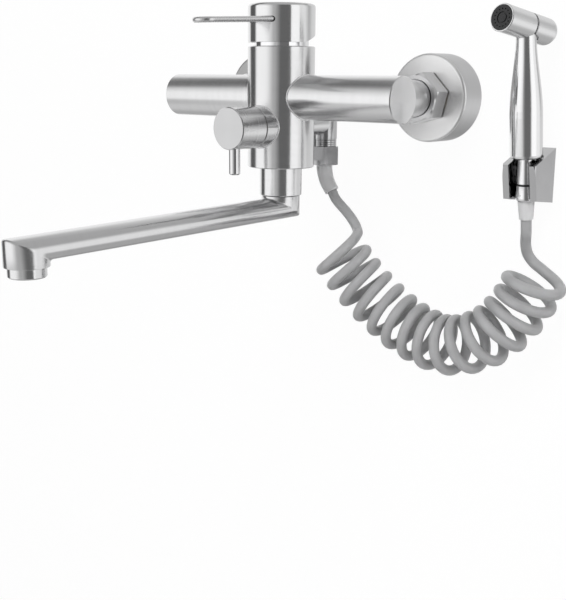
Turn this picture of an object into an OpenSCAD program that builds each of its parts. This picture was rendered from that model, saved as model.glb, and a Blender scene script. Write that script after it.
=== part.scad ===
// Wall-mounted kitchen mixer tap with a swivel spout, a diverter knob
// and a hand spray on a curly hose.
// Millimetres, +Z up, +Y into the wall, +X to the right seen from the room.
// The origin lies on the wall, midway between the two inlets.

/* [Body] */
// Distance between the two wall inlets
inlet_spacing = 150; // [130:1:170]
// Distance from the wall to the column's axis
reach = 82.2; // [76:0.2:95]
// Outer diameter of the column and of the handle cap
column_d = 44.5; // [43:0.5:50]
// Height of the column's top above the arms' axis
column_top = 32.5; // [30:0.5:40]
// Depth of the column's foot below the arms' axis
column_foot = 46; // [43:0.5:54]
// Outer diameter of the two arms
arm_d = 28.7; // [27:0.1:32]
// Length of each arm past its inlet's axis
arm_end = 22.2; // [16:0.2:30]
// Outer diameter of the inlet stubs behind the arms
stub_d = 23.6; // [22:0.1:24.4]
// Bore of the waterways in the arms
water_d = 16; // [10:0.5:17]

/* [Wall fittings] */
// Width across the flats of the union nuts
union_flats = 30; // [29:0.5:34]
// Length of the union nuts
union_len = 13.8; // [12:0.2:18]
// Outer diameter of the male thread under a union nut
union_thread_d = 26.44; // [25.8:0.02:27]
// Outer diameter of the thread that screws into the wall
wall_thread_d = 20.96; // [19:0.02:22]
// Length of the thread in the wall
wall_thread_len = 16; // [10:1:25]
// Diameter of the wall flanges
flange_d = 58; // [50:0.5:66]
// Depth of the wall flanges
flange_h = 21.2; // [18:0.2:24]
// Wall thickness of the flanges
flange_wall = 1.4; // [1:0.1:2]

/* [Handle] */
// Height of the handle cap
cap_h = 24.4; // [23:0.2:28]
// Gap between the column and the handle cap
cap_gap = 2.5; // [2.2:0.1:3.2]
// Largest lift of the handle, in degrees
lift_angle = 18; // [12:0.5:18]
// Reach of the lever's tip from the column's axis
lever_reach = 78.3; // [50:0.5:110]
// Width of the lever where it enters the cap
lever_root_w = 22; // [16:0.5:24]
// Width of the lever at its round tip
lever_tip_w = 16.5; // [10:0.5:22]
// Thickness of the lever
lever_t = 3.4; // [2.4:0.1:4.4]

/* [Diverter] */
// Depth of the diverter's axis below the arms' axis
knob_drop = 19; // [18.4:0.2:21]
// Diameter of the diverter knob and of its boss
knob_d = 26.9; // [25:0.1:29]
// Length of the knob
knob_len = 22.2; // [18:0.2:26]
// Distance from the column's axis to the boss's front face
boss_reach = 28.6; // [27:0.2:34]
// Diameter of the knob's pin
pin_d = 7.3; // [5:0.1:8]
// Length of the pin outside the knob
pin_len = 16; // [8:0.5:26]

/* [Spout] */
// Distance between the spout's two upright axes
spout_len = 193.8; // [120:1:240]
// Width of the spout and diameter of its upright ends
spout_w = 26; // [24:0.2:28]
// Height of the spout's oval tube
spout_h = 14.8; // [12:0.2:18]
// Fall of the oval tube towards the outlet, in degrees
spout_fall = 1.9; // [0:0.1:5]
// Turn of the spout to the left at rest, in degrees
spout_turn = 5.5; // [0:0.5:20]
// Wall thickness of the spout
spout_wall = 1.6; // [1.2:0.1:2.2]
// Diameter of the collar that holds the spout
collar_d = 28.5; // [27:0.1:32]
// Length of that collar
collar_len = 18.9; // [17:0.1:24]
// Diameter of the aerator's visible ring
aerator_d = 22.1; // [20:0.1:22.6]
// Length of the aerator's visible ring
aerator_h = 6; // [4:0.2:9]

/* [Hose] */
// Outer diameter of the hose
hose_d = 7; // [6:0.1:8]
// Radius of the curls, on the hose's centre line
curl_r = 17; // [14:0.5:17.5]
// Number of curls
curls = 15.16; // [15.16]
// Width across the flats of the hose nut
nut_flats = 19; // [18.6:0.2:22]
// Length of the hose nut
nut_len = 12.9; // [11:0.1:16]
// Diameter of the outlet elbow's upright body
elbow_d = 17.2; // [16:0.1:18.4]
// Distance of the elbow's upright axis from the wall
elbow_wall = 34.6; // [32:0.2:38]

/* [Hand spray] */
// Distance of the hand spray's axis to the right of the column's axis
spray_x = 147.4; // [147.4]
// Lean of the hand spray out from the wall, in degrees
spray_lean = 7.7; // [7.7]
// Largest diameter of the grip
grip_d = 20.5; // [19:0.1:20.8]
// Diameter of the grip's neck
neck_d = 12.4; // [11:0.1:13.4]
// Distance along the grip from its lower end to the head's axis
head_up = 80.4; // [70:0.2:95]
// Diameter of the head
head_d = 16.6; // [16.2:0.1:18]
// Reach of the head in front of the grip's axis
head_front = 24.8; // [22:0.2:30]
// Reach of the head behind the grip's axis
head_back = 26.1; // [24:0.2:32]
// Rise of the head towards its nozzle, in degrees
head_rise = 16.3; // [8:0.1:24]
// Travel of the thumb cap
press_travel = 1.2; // [0.6:0.1:1.4]
// Number of holes in the spray face
jets = 15; // [8:1:18]

/* [Bracket] */
// Width of the bracket
bracket_w = 23; // [22.4:0.1:27]
// Depth of the bracket at its top
bracket_depth = 27; // [25:0.2:30]
// Height of the bracket at the wall
bracket_h = 34.7; // [33:0.2:38]
// Width of the opening in the bracket's front
bracket_gap = 14.4; // [10:0.2:15.2]

/* [Hidden] */
$fn = 96;

// Fits and small gaps
run_gap = 0.05;
slip_gap = 0.2;
seam = 0.3;
chamfer = 0.5;
eps = 0.01;

// Column and cartridge
chamber_r = column_d / 2 - 4.2;
floor_z = water_d / 2 + 2.5;
cart_r = chamber_r - 0.55;
seal_t = 1;
base_z = floor_z + seal_t;
base_t = 4;
disc_z = base_z + base_t;
disc_t = 3.5;
disc_r = cart_r - 3;
top_disc_z = disc_z + disc_t + run_gap;
top_disc_t = 3.6;
top_disc_r = cart_r - 5.2;
carrier_z = top_disc_z + top_disc_t + seam;
carrier_t = 2.6;
shell_wall = 2.1;
shell_top = carrier_z + carrier_t + seam;
shell_lid = 2.2;
neck_r = 9;
pivot_z = shell_top + 1.8;
foot_z = top_disc_z + 2.4;
foot_r = 2.2;
stem_w = 6;
stem_slot_front = 3.9;
stem_slot_l = 9.6;
stem_top_w = 7;
stem_step = 6.6;
stem_grip = 7;
nut_z = shell_top + shell_lid;
nut_r = chamber_r - run_gap;
nut_hole_r = 12.9;
cap_z = column_top + cap_gap;
cap_top = cap_z + cap_h;
cap_wall = 2.7;
cap_lid = 5;
dome_z = cap_z + 1.6;
dome_h = 4;
dome_shoulder = 2.6;
dome_crown = 5;
hub_r = 8;
hub_bottom = cap_top - 13.4;
lever_z = cap_top - 10.4;
port_r = 2.8;
port_x = 8;
screw_r = 2.5;
screw_z = hub_bottom + 3;
slot_gap = 0.2;

// Inlets
inlet_x = inlet_spacing / 2;
union_back = flange_h + slip_gap;
union_front = union_back + union_len;
lip_t = 2.2;
stub_r = stub_d / 2;
stub_ring_r = union_thread_d / 2 - 0.4;
stub_ring_t = 2;
stub_end = union_front - lip_t - slip_gap - stub_ring_t;
washer_t = 2;
union_end = stub_end - washer_t;
union_bore_r = 7.5;
undercut = 1.2;

// Diverter
bush_r = 8.45;
bush_nose_r = 8;
bush_len = 14.8;
bush_nose = 6;
spindle_r = 4;
rotor_r = 7.8;
rotor_t = 4;
boss_y = -reach - boss_reach;
knob_back = boss_y - 0.5;
knob_front = knob_back - knob_len;
pin_y = knob_front + 5.9;
pin_screw_r = 2;
pin_top = knob_d / 2 - 0.5;

// Rear outlet
elbow_y = -elbow_wall;
rear_stub_r = 7.5;
rear_bore_r = 4.5;
spigot_r = 5.5;
spigot_len = 9;
elbow_up = 8.6;
elbow_foot = knob_drop + 10.8;
elbow_thread_d = 16.66;
elbow_thread_len = 13.2;
nut_top = elbow_foot + 4.8;
nut_turn = 8;
nut_floor = 1.6;
tail_t = 1.5;
hose_washer_t = 1.3;

// Spout
spigot_d = 19;
spout_bore_r = spigot_d / 2 + run_gap;
spigot_up = 15;
nose_r = 12.2;
nose_len = 10;
collar_lip = 2.9;
spout_neck_r = 10.05;
spout_bore_in_r = 6;
collar_z = -column_foot - collar_len;
clip_t = 2;
clip_r = nose_r - 0.3;
clip_groove_r = 8;
ring_r = 1.2;
ring_path_r = spigot_d / 2 - ring_r;
leg_top = collar_z - seam;
bend_z = collar_z - spout_w / 2 * tan(28) - 2.1;
out_r = spout_w / 2;
oval_h = spout_h / 2;
mitre = atan((oval_h / out_r - cos(90 - spout_fall)) / sin(90 - spout_fall));
far_z = bend_z - spout_len * tan(spout_fall);
outlet_z = far_z - oval_h - 1.9;
oval_sides = 60;
aerator_thread_r = aerator_d / 2 + 0.45;
aerator_up = 5;
aerator_in_r = aerator_d / 2 - 1.3;
jet_pitch = 2.6;

// Hand spray
grip_r = grip_d / 2;
grip_edge = 2.6;
spigot_deep = 8;
face_inset = 0.2;
cap_floor = 3;
cap_round = 6.6;
spray_y = -17.4;
spray_z = -35.4;
spray_yaw = -8;
head_r = head_d / 2;
head_wall = 0.8;
press_gap = press_travel + seam;
head_seam = -0.2;
core_r = head_r - head_wall - seam;
core_back = 17;
valve_seat = 6;
valve_r = 3.2;
rod_r = 1.6;
spring_r = 0.4;
face_r = head_r - head_wall;
face_t = 2.4;
jet_ring_r = 5.2;
jet_r = 0.4;
connector_top_r = 5.3;
connector_mid_r = 6.5;
connector_foot_r = 7.3;
connector_spigot_r = 4.7;
connector_bore_r = 2.5;
nut_long = 16;
ring_t = 1.2;
cone_long = 9.4;
sleeve_top_r = 5.4;
sleeve_end_r = 4.5;
sleeve_len = 13.1;
ring_low = nut_long + ring_t;
cone_low = ring_low + cone_long;
hose_end = cone_low + sleeve_len;

// Bracket
bracket_top = -29.5;
bracket_front_drop = 10.2;
bracket_front_lean = 4.5;
bracket_foot_rise = 2.6;
seat_gap = 0.4;
wall_screw_r = 2;
wall_screw_head_r = 3.6;
wall_screw_len = 25;
wall_screw_gap = 18;
wall_screw_z = bracket_top - bracket_h / 2 - 0.6;
wall_screw_y = -4.4;

// Hose route: where it is not coiled the points are chosen by hand
sleeve_points = [[0, -34.6, -46.2], [0.4, -34.6, -52], [2.4, -34.4, -59], [6.8, -33.9, -66.2]];
lead_in_mid = [[17.7, -31.5, -79.7], [21.4, -30.3, -84.2], [25.3, -30.6, -88.4], [28.8, -32.6, -91.6]];
lead_out_mid = [[150, -3.2, -103.7], [146.1, -4.4, -98.3], [145.8, -7.4, -91.2], [147.3, -10.7, -83.7]];
axis_points = [[22.5, -49, -103.5], [37.5, -42, -125], [58, -36.5, -144], [82.5, -34.5, -157],
  [109.5, -34, -161], [136, -31.5, -150], [152.5, -24.5, -130], [163.5, -21.5, -106]];
curl_start = -62;
curls_from = 0.008;
curls_to = 0.983;
tube_end = 2;
rings_per_curl = 8;
coil_sides = 6;
tube_sides = 8;
coil_end = hose_d;

function unit(v) = v / norm(v);
function spline(p, i, u) =
  let (n = len(p) - 1)
  let (a = i > 0 ? p[i - 1] : 2 * p[0] - p[1])
  let (b = p[i])
  let (c = p[i + 1])
  let (d = i + 2 <= n ? p[i + 2] : 2 * p[n] - p[n - 1])
  0.5 * (2 * b + (c - a) * u + (2 * a - 5 * b + 4 * c - d) * u * u
    + (3 * b - a - 3 * c + d) * u * u * u);
function along(p, s) =
  let (n = len(p) - 1)
  let (q = min(max(s, 0), 1) * n)
  let (i = min(floor(q), n - 1))
  spline(p, i, q - i);
function heading(p, s) = unit(along(p, s + 0.004) - along(p, s - 0.004));

// Curls: a helix of curl_r round the sagging axis, unbroken from end to end; s is the share
// of the axis, and the helix leaves it a little after its start and a little before its end
function curl_share(u) = curls_from + (curls_to - curls_from) * u;
function curl_up(s) = unit(cross([0, -1, 0], heading(axis_points, min(max(s, 0.005), 0.995))));
function curl_out(s) =
  unit(cross(heading(axis_points, min(max(s, 0.005), 0.995)), curl_up(s)));
function curl_dir(s) =
  let (a = curl_start + 360 * curls * s)
  cos(a) * curl_up(s) + sin(a) * curl_out(s);
function curl_point(s) = along(axis_points, s) + curl_r * curl_dir(s);
function curl_heading(s) =
  unit(curl_point(min(s + 0.0005, 1)) - curl_point(max(s - 0.0005, 0)));

curl_rings = round(curls * rings_per_curl);
coil_first = curl_point(curls_from) - coil_end * curl_heading(curls_from);
coil_last = curl_point(curls_to) + coil_end * curl_heading(curls_to);
coil_path = concat([coil_first],
  [for (i = [0:curl_rings]) curl_point(curl_share(i / curl_rings))], [coil_last]);
coil_normals = concat([curl_dir(curls_from)],
  [for (i = [0:curl_rings]) curl_dir(curl_share(i / curl_rings))], [curl_dir(curls_to)]);

// The least gap between neighbouring curls, on a fine walk along the helix
coil_walk = [for (i = [0:curls * 24]) curl_point(curl_share(i / (curls * 24)))];
coil_gap = min([for (i = [0:len(coil_walk) - 1]) for (j = [i + 12:min(i + 40, len(coil_walk) - 1)])
  norm(coil_walk[i] - coil_walk[j])]) - hose_d;
echo(least_gap_between_curls = coil_gap);

function spray_point(z) =
  [spray_x, spray_y - z * sin(spray_lean), spray_z + z * cos(spray_lean)];
sleeve_dir = unit(sleeve_points[3] - sleeve_points[2]);
lead_in_points = concat([sleeve_points[3], sleeve_points[3] + hose_d * sleeve_dir],
  lead_in_mid, [coil_first - tube_end * curl_heading(curls_from), coil_first]);
lead_out_points = concat([coil_last, coil_last + tube_end * curl_heading(curls_to)], lead_out_mid,
  [spray_point(-hose_end - tube_end), spray_point(-hose_end)]);

// Basic shapes
module at_column(z) {
  translate([0, -reach, z]) children();
}
module towards_wall(x, y, z) {
  translate([x, y, z]) rotate([-90, 0, 0]) children();
}
module towards_room(x, y, z) {
  translate([x, y, z]) rotate([90, 0, 0]) children();
}
module tube(r_out, r_in, h) {
  difference() {
    cylinder(r = r_out, h = h);
    translate([0, 0, -eps]) cylinder(r = r_in, h = h + 2 * eps);
  }
}
module bevelled(r, h, low, high) {
  rotate_extrude() polygon([[0, 0], [r - low, 0], [r, low], [r, h - high], [r - high, h], [0, h]]);
}
module thread_form(r, h, pitch) {
  // Rings that stand for a screw thread, cut from the full radius
  turns = floor(h / pitch);
  difference() {
    cylinder(r = r, h = h);
    for (i = [0:turns - 1]) translate([0, 0, (i + 0.5) * pitch]) rotate_extrude()
      polygon([[r + 1, -pitch * 0.42], [r + 1, pitch * 0.42], [r - 0.5, 0]]);
  }
}
module spray_frame() {
  translate([spray_x, spray_y, spray_z]) rotate([spray_lean, 0, 0])
    rotate([0, 0, spray_yaw]) children();
}
module head_frame() {
  spray_frame() translate([0, 0, head_up]) rotate([90 - head_rise, 0, 0]) children();
}

// A tube swept through points; normals give each ring's first direction
module sweep(points, normals, radii, sides) {
  n = len(points);
  heads = [for (i = [0:n - 1]) unit(points[min(i + 1, n - 1)] - points[max(i - 1, 0)])];
  rings = [for (i = [0:n - 1])
    let (t = heads[i])
    let (u = unit(normals[i] - (normals[i] * t) * t))
    let (v = cross(t, u))
    for (k = [0:sides - 1]) points[i] + radii[i] * (cos(360 * k / sides) * u + sin(360 * k / sides) * v)];
  walls = [for (i = [0:n - 2]) for (k = [0:sides - 1])
    let (a = i * sides + k)
    let (b = i * sides + (k + 1) % sides)
    each [[a, a + sides, b], [b, a + sides, b + sides]]];
  caps = [for (k = [1:sides - 2]) each [[0, k, k + 1],
    [(n - 1) * sides, (n - 1) * sides + k + 1, (n - 1) * sides + k]]];
  polyhedron(rings, concat(walls, caps));
}
module free_tube(points, steps) {
  n = len(points) - 1;
  path = concat([points[0]], [for (i = [0:steps]) along(points, (1 + (n - 2) * i / steps) / n)],
    [points[n]]);
  sweep(path, [for (p = path) [0, 1, 0]], [for (p = path) hose_d / 2], tube_sides);
}

// Body: column, arms, inlet stubs, diverter boss and rear stub in one casting
module mixer_body() {
  color("silver") difference() {
    union() {
      at_column(-column_foot) bevelled(column_d / 2, column_top + column_foot, chamfer, chamfer);
      translate([-inlet_x - arm_end, -reach, 0]) rotate([0, 90, 0])
        bevelled(arm_d / 2, 2 * (inlet_x + arm_end), chamfer, chamfer);
      for (s = [-1, 1]) {
        towards_wall(s * inlet_x, -reach, 0) cylinder(r = stub_r, h = reach - stub_end);
        towards_wall(s * inlet_x, -stub_end - stub_ring_t, 0) cylinder(r = stub_ring_r, h = stub_ring_t);
      }
      towards_room(0, -reach, -knob_drop) bevelled(knob_d / 2, boss_reach, 0, 0.3);
      towards_wall(0, -reach, -knob_drop) cylinder(r = rear_stub_r, h = reach - elbow_wall - elbow_d / 4);
      at_column(-column_foot - nose_len) cylinder(r = nose_r, h = nose_len + 1);
    }
    at_column(floor_z) cylinder(r = chamber_r, h = column_top);
    for (s = [-1, 1]) {
      translate([s * (inlet_x + water_d / 2), -reach, 0]) rotate([0, -s * 90, 0])
        cylinder(d = water_d, h = inlet_x + water_d / 2 - 5);
      towards_wall(s * inlet_x, -reach, 0) cylinder(r = union_bore_r, h = reach);
      translate([s * port_x, -reach, 0]) cylinder(r = port_r, h = floor_z + 1);
    }
    at_column(-knob_drop) translate([0, 8, 0]) cylinder(r = port_r, h = knob_drop + floor_z + 1);
    towards_wall(0, boss_y - 1, -knob_drop) cylinder(r = bush_r + run_gap, h = boss_reach + 3);
    towards_wall(0, -reach, -knob_drop) cylinder(r = rear_bore_r, h = reach);
    towards_wall(0, -elbow_wall - elbow_d / 2 - spigot_len, -knob_drop)
      cylinder(r = spigot_r + run_gap, h = reach);
    at_column(-column_foot - nose_len - 1) cylinder(r = spout_bore_r, h = nose_len + spigot_up + 1);
    at_column(-column_foot) cylinder(r = rear_bore_r, h = column_foot - knob_drop);
    translate([0, elbow_y, -knob_drop - 2 * elbow_up]) cylinder(d = elbow_d + 2 * run_gap, h = 4 * elbow_up);
  }
}

// Cartridge: rubber seals at its three ports
module base_seals() {
  color("dimgray") for (p = [[-port_x, 0], [port_x, 0], [0, 8]])
    at_column(floor_z) translate([p[0], p[1], 0]) tube(4.4, port_r, seal_t);
}
module port_holes(z, h) {
  for (p = [[-port_x, 0], [port_x, 0], [0, 8]]) at_column(z) translate([p[0], p[1], 0])
    cylinder(r = port_r, h = h);
}
module cartridge_base() {
  color("dimgray") difference() {
    at_column(base_z) cylinder(r = cart_r, h = base_t);
    port_holes(base_z - 1, base_t + 2);
  }
}
module fixed_disc() {
  color("white") difference() {
    at_column(disc_z) cylinder(r = disc_r, h = disc_t);
    port_holes(disc_z - 1, disc_t + 2);
  }
}
module cartridge_housing() {
  color("dimgray") at_column(disc_z) rotate_extrude() polygon([
    [cart_r - shell_wall, 0], [cart_r, 0], [cart_r, nut_z - disc_z],
    [neck_r + 0.08, nut_z - disc_z], [neck_r + 0.08, shell_top - disc_z],
    [cart_r - shell_wall, shell_top - disc_z]]);
}
module cartridge_nut() {
  color("gold") at_column(nut_z) rotate_extrude() polygon([
    [nut_hole_r, 0], [nut_r, 0], [nut_r, dome_z - nut_z], [nut_hole_r, dome_z - nut_z]]);
}
module dome_ring() {
  // The bright ring under the cap, drawn in so that the lifted cap clears it
  color("gainsboro") at_column(dome_z) rotate_extrude() polygon([
    [nut_hole_r - 1.4, 0], [nut_r - 0.1, 0], [nut_r - 0.5, 0.8], [nut_r - dome_shoulder, dome_h * 0.7],
    [nut_r - dome_crown, dome_h], [nut_hole_r - 1.4, dome_h]]);
}

// Turning and tilting parts of the cartridge
module stem_carrier() {
  color("beige") difference() {
    at_column(carrier_z) union() {
      cylinder(r = cart_r - shell_wall - slip_gap, h = carrier_t);
      cylinder(r = neck_r, h = pivot_z - carrier_z + 4.6);
    }
    at_column(carrier_z - 1) translate([-stem_w / 2 - slip_gap, -stem_slot_front, 0])
      cube([stem_w + 2 * slip_gap, stem_slot_l, pivot_z - carrier_z + 2 * stem_w]);
    at_column(pivot_z) rotate([0, 90, 0])
      translate([0, 0, -neck_r - 1]) cylinder(r = 1.5 + run_gap, h = 2 * neck_r + 2);
  }
}
module stem_pin() {
  color("gray") at_column(pivot_z) rotate([0, 90, 0])
    translate([0, 0, 0.3 - neck_r]) cylinder(r = 1.5, h = 2 * neck_r - 0.6);
}
module moving_disc() {
  color("white") difference() {
    at_column(top_disc_z) cylinder(r = top_disc_r, h = top_disc_t);
    at_column(top_disc_z - 1) cylinder(r = foot_r + 0.15, h = top_disc_t + 2);
    at_column(top_disc_z - 1) translate([0, 4, 0]) cylinder(r = 3.4, h = 2.2);
  }
}
module cartridge_stem() {
  color("gray") difference() {
    union() {
      at_column(foot_z) sphere(r = foot_r);
      at_column(foot_z) cylinder(r = 1.5, h = pivot_z - foot_z);
      at_column(pivot_z - 2.4) translate([-stem_w / 2, -stem_w / 2, 0]) cube([stem_w, stem_w, stem_step + 3]);
      at_column(pivot_z + stem_step) translate([-stem_top_w / 2, -stem_top_w / 2, 0])
        cube([stem_top_w, stem_top_w, hub_bottom + stem_grip - pivot_z - stem_step]);
    }
    at_column(pivot_z) rotate([0, 90, 0])
      translate([0, 0, -stem_w]) cylinder(r = 1.5 + run_gap, h = 2 * stem_w);
  }
}

// Handle: hollow cap, lever plate in its slot, grub screw at the back
module handle_cap() {
  r = column_d / 2;
  color("silver") difference() {
    union() {
      difference() {
        at_column(cap_z) rotate_extrude() polygon(concat([[0, 0], [r, 0], [r, cap_h - 2.4]],
          [for (a = [15:15:90]) [r - 2.4 + 2.4 * cos(a), cap_h - 2.4 + 2.4 * sin(a)]],
          [[0, cap_h]]));
        at_column(cap_z - 1) cylinder(r = r - cap_wall, h = cap_h - cap_lid + 1);
      }
      at_column(hub_bottom) cylinder(r = hub_r, h = cap_top - hub_bottom - 1);
    }
    at_column(hub_bottom - 1) translate([-stem_top_w / 2 - run_gap, -stem_top_w / 2 - run_gap, 0])
      cube([stem_top_w + 2 * run_gap, stem_top_w + 2 * run_gap, stem_grip + 1.2]);
    at_column(cap_z) translate([-r - 1, -2, 0]) rotate([lift_angle + 0.5, 0, 0])
      translate([0, 0, -2 * r]) cube([2 * r + 2, 3 * r, 2 * r]);
    at_column(lever_z) translate([0, -hub_r + 0.5, 0]) rotate([90, 0, 0]) lever_slot(r);
    towards_wall(0, -reach, screw_z) cylinder(r = screw_r + run_gap, h = 2 * r);
  }
}
module lever_slot(length) {
  e = lever_t / 2 + slot_gap;
  translate([e - lever_root_w / 2 - slot_gap, -e, 0]) cube([lever_root_w + 2 * slot_gap - 2 * e, 2 * e, length]);
  for (s = [-1, 1]) translate([s * (lever_root_w / 2 + slot_gap - e), 0, 0]) cylinder(r = e, h = length);
}
module handle_lever() {
  e = lever_t / 2;
  color("silver") at_column(lever_z) hull() {
    translate([0, lever_tip_w / 2 - lever_reach, 0]) rotate_extrude($fn = 40)
      translate([lever_tip_w / 2 - e, 0]) circle(r = e, $fn = 16);
    for (s = [-1, 1]) translate([s * (lever_root_w / 2 - e), -hub_r - 0.6, 0]) rotate([90, 0, 0])
      cylinder(r = e, h = 14, $fn = 16);
  }
}
module handle_screw() {
  color("gray") difference() {
    towards_wall(0, -reach + stem_top_w / 2 + 0.1, screw_z) cylinder(r = screw_r, h = 7);
    towards_wall(0, -reach + stem_top_w / 2 + 4.6, screw_z) cylinder(r = 1.45, h = 4, $fn = 6);
  }
}

// Wall side: unions, washers, union nuts and flanges
module wall_union(x) {
  difference() {
    union() {
      towards_wall(x, -union_end, 0) bevelled(union_thread_d / 2, union_end - 3, 0.8, 0.3);
      towards_wall(x, -3.2, 0) cylinder(r = 12, h = 3.2);
      towards_wall(x, -0.2, 0) cylinder(r = wall_thread_d / 2 - 0.9, h = 2);
      towards_wall(x, undercut, 0) bevelled(wall_thread_d / 2, wall_thread_len - undercut, 0.4, 1);
    }
    towards_wall(x, -reach, 0) cylinder(r = union_bore_r, h = 2 * reach);
  }
}
module wall_unions() {
  color("goldenrod") for (s = [-1, 1]) wall_union(s * inlet_x);
}
module inlet_washers() {
  color("dimgray") for (s = [-1, 1]) towards_wall(s * inlet_x, -stub_end, 0)
    tube(stub_ring_r, union_bore_r, washer_t);
}
module union_nut(x) {
  corner = union_flats / 2 / cos(30);
  color("silver") difference() {
    intersection() {
      towards_wall(x, -union_front, 0) rotate([0, 0, 30]) cylinder(r = corner, h = union_len, $fn = 6);
      towards_wall(x, -union_front, 0) bevelled(corner, union_len, 1.3, 1.3);
    }
    towards_wall(x, -union_front - 1, 0) cylinder(r = stub_r + slip_gap, h = union_len + 2);
    towards_wall(x, lip_t - union_front, 0) cylinder(r = union_thread_d / 2 + run_gap, h = union_len);
  }
}
module union_nut_left() {
  union_nut(-inlet_x);
}
module union_nut_right() {
  union_nut(inlet_x);
}
module flange(x) {
  r = flange_d / 2;
  b = 2;
  color("silver") translate([x, 0, 0]) rotate([90, 0, 0]) rotate_extrude() polygon(concat(
    [[union_thread_d / 2 + 0.08, flange_h], [union_thread_d / 2 + 0.08, flange_h - flange_wall],
      [r - flange_wall - 1, flange_h - flange_wall], [r - flange_wall, flange_h - flange_wall - 1],
      [r - flange_wall, 0], [r, 0]],
    [for (a = [0:15:90]) [r - b + b * cos(a), flange_h - b + b * sin(a)]]));
}
module flange_left() {
  flange(-inlet_x);
}
module flange_right() {
  flange(inlet_x);
}

// Diverter
module diverter_bush() {
  color("goldenrod") difference() {
    union() {
      towards_wall(0, boss_y, -knob_drop) cylinder(r = bush_r, h = bush_len);
      towards_room(0, boss_y + 1, -knob_drop) cylinder(r = bush_nose_r, h = bush_nose + 1);
    }
    towards_wall(0, boss_y - bush_nose - 1, -knob_drop) cylinder(r = spindle_r + run_gap, h = reach);
  }
}
module diverter_spindle() {
  color("gray") towards_wall(0, knob_front + 3, -knob_drop)
    cylinder(r = spindle_r, h = knob_len - 3 + 0.5 + bush_len + slip_gap);
}
module diverter_rotor() {
  // A quarter of the rotor is open: it passes water down or to the rear
  color("white") difference() {
    towards_wall(0, boss_y + bush_len + slip_gap, -knob_drop) cylinder(r = rotor_r, h = rotor_t);
    towards_wall(2, boss_y + bush_len - 1, -knob_drop + 4) cylinder(r = 2.4, h = rotor_t + 4);
  }
}
module diverter_knob() {
  color("silver") difference() {
    towards_wall(0, knob_front, -knob_drop) bevelled(knob_d / 2, knob_len, 0.6, 0.4);
    towards_room(0, knob_back + 1, -knob_drop) cylinder(r = bush_nose_r + 0.6, h = bush_nose + 1.6);
    towards_wall(0, knob_front + 3 - slip_gap, -knob_drop) cylinder(r = spindle_r + 0.02, h = knob_len);
    translate([0, pin_y, -knob_drop - knob_d]) cylinder(r = pin_screw_r + run_gap, h = knob_d);
    translate([0, pin_y, -knob_drop - knob_d]) cylinder(r = pin_d / 2 + run_gap, h = knob_d - pin_top);
  }
}
module knob_pin() {
  color("silver") translate([0, pin_y, -knob_drop]) rotate([180, 0, 0]) {
    translate([0, 0, spindle_r + run_gap]) cylinder(r = pin_screw_r, h = pin_top - spindle_r);
    translate([0, 0, pin_top]) bevelled(pin_d / 2, knob_d / 2 - pin_top + pin_len, 0, 0.8);
  }
}

// Rear outlet and the hose's first fittings
module outlet_elbow() {
  color("silver") difference() {
    union() {
      translate([0, elbow_y, -elbow_foot]) bevelled(elbow_d / 2, elbow_foot - knob_drop + elbow_up, 0.6, 1.5);
      translate([0, elbow_y, -elbow_foot - elbow_thread_len])
        thread_form(elbow_thread_d / 2, elbow_thread_len + 0.5, 1.34);
      towards_room(0, elbow_y, -knob_drop) cylinder(r = spigot_r, h = elbow_d / 2 + spigot_len - slip_gap);
    }
    translate([0, elbow_y, -knob_drop - 60]) cylinder(r = rear_bore_r, h = 60);
    towards_room(0, elbow_y, -knob_drop) cylinder(r = rear_bore_r, h = 40);
    towards_room(0, elbow_y - elbow_d / 2 - 3, -knob_drop) tube(spigot_r + 1, spigot_r - 0.7, 2);
  }
}
module elbow_ring() {
  color("dimgray") towards_room(0, elbow_y - elbow_d / 2 - 3, -knob_drop)
    tube(spigot_r - 0.03, spigot_r - 0.65, 1.9);
}
module hose_washer() {
  color("dimgray") translate([0, elbow_y, -elbow_foot - elbow_thread_len - hose_washer_t])
    tube(7.4, rear_bore_r, hose_washer_t);
}
module hose_tail() {
  color("goldenrod") translate([0, elbow_y, -nut_top - nut_len + nut_floor])
    tube(7.9, 2.5, nut_top + nut_len - nut_floor - elbow_foot - elbow_thread_len - hose_washer_t);
}
module hose_nut() {
  corner = nut_flats / 2 / cos(30);
  color("silver") difference() {
    translate([0, elbow_y, -nut_top - nut_len]) intersection() {
      rotate([0, 0, -60 + nut_turn]) cylinder(r = corner, h = nut_len, $fn = 6);
      bevelled(corner, nut_len, 1, 1);
    }
    translate([0, elbow_y, -nut_top - nut_len - 1]) cylinder(r = 6.1, h = nut_len);
    translate([0, elbow_y, -nut_top - nut_len + nut_floor])
      cylinder(r = elbow_thread_d / 2 + run_gap, h = nut_len);
  }
}
module hose_sleeve() {
  steps = 9;
  path = [for (i = [0:steps]) along(sleeve_points, i / steps)];
  color("darkgray") sweep(path, [for (p = path) [0, 1, 0]], [for (i = [0:steps]) 5.8 - 0.75 * i / steps], 16);
}
module hose_lead_in() {
  color("darkgray") free_tube(lead_in_points, 26);
}
module hose_coil() {
  color("darkgray") sweep(coil_path, coil_normals, [for (p = coil_path) hose_d / 2], coil_sides);
}
module hose_lead_out() {
  color("darkgray") free_tube(lead_out_points, 26);
}

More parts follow.
